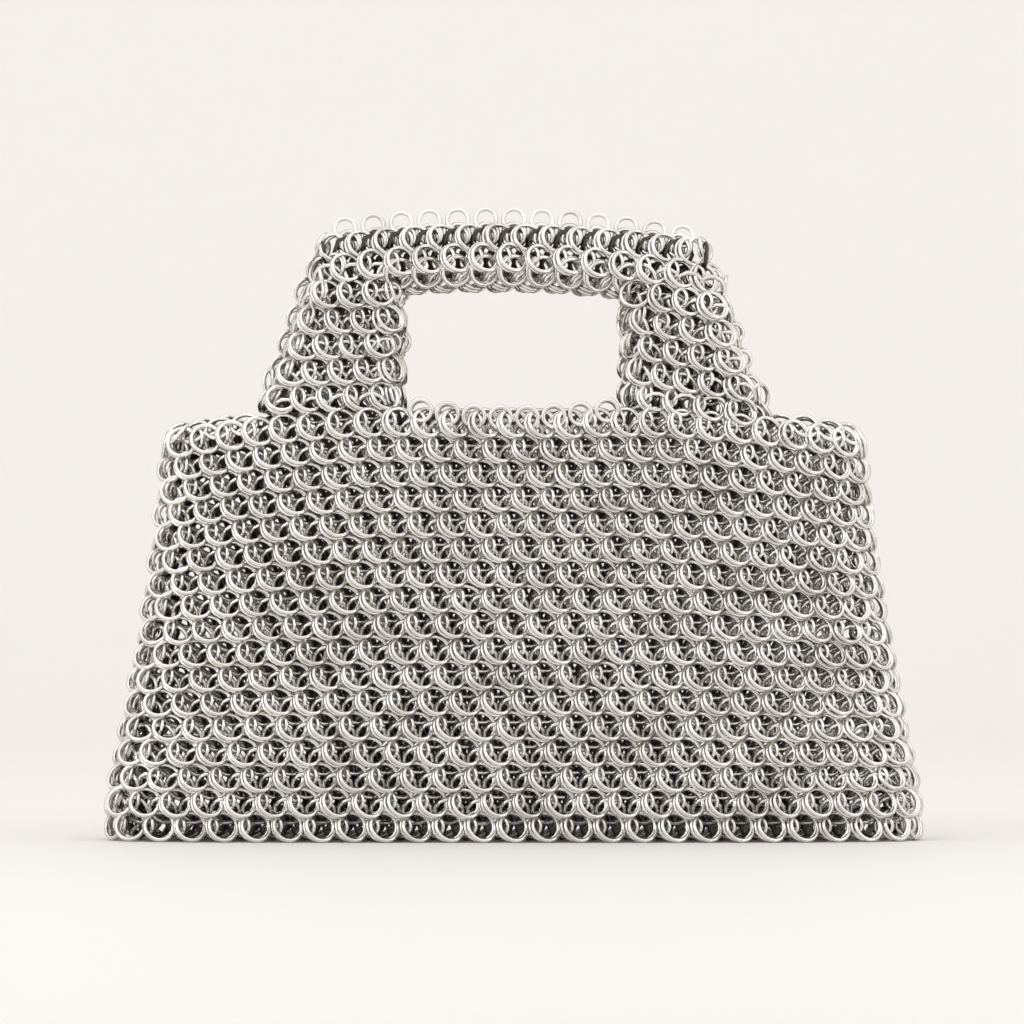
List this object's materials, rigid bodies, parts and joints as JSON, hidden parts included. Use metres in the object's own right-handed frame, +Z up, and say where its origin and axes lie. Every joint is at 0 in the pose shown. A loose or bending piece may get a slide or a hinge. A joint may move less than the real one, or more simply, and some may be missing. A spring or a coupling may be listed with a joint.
{
  "type": "metal mesh purse",
  "caption": "Upright ring-mail handbag with a flared hollow body on a flat base and a handle cut out of the same mail, open on the shoulders and under the hand hole",
  "frame": {"origin": "centre of the bounding box in plan, on the surface that the purse stands on", "axes": "+X to the right seen from the front, along the width; +Y from the front to the back; +Z up"},
  "size_m": [0.3, 0.0778, 0.2317],
  "materials": {
    "cloth": "polished wire, linked",
    "links": "polished wire"
  },
  "bodies": {
    "root": {"front_sheet": "cloth", "back_sheet": "cloth", "base_sheet": "cloth", "ridge_link_1": "links", "ridge_link_2": "links", "ridge_link_3": "links", "ridge_link_4": "links", "ridge_link_5": "links", "ridge_link_6": "links", "ridge_link_7": "links", "ridge_link_8": "links", "ridge_link_9": "links", "ridge_link_10": "links", "ridge_link_11": "links", "ridge_link_12": "links", "ridge_link_13": "links", "front_lip_link_1": "links", "front_lip_link_2": "links", "front_lip_link_3": "links", "front_lip_link_4": "links", "front_lip_link_5": "links", "front_lip_link_6": "links", "front_lip_link_7": "links", "front_lip_link_8": "links", "back_lip_link_1": "links", "back_lip_link_2": "links", "back_lip_link_3": "links", "back_lip_link_4": "links", "back_lip_link_5": "links", "back_lip_link_6": "links", "back_lip_link_7": "links", "back_lip_link_8": "links"}
  },
  "joints": []
}
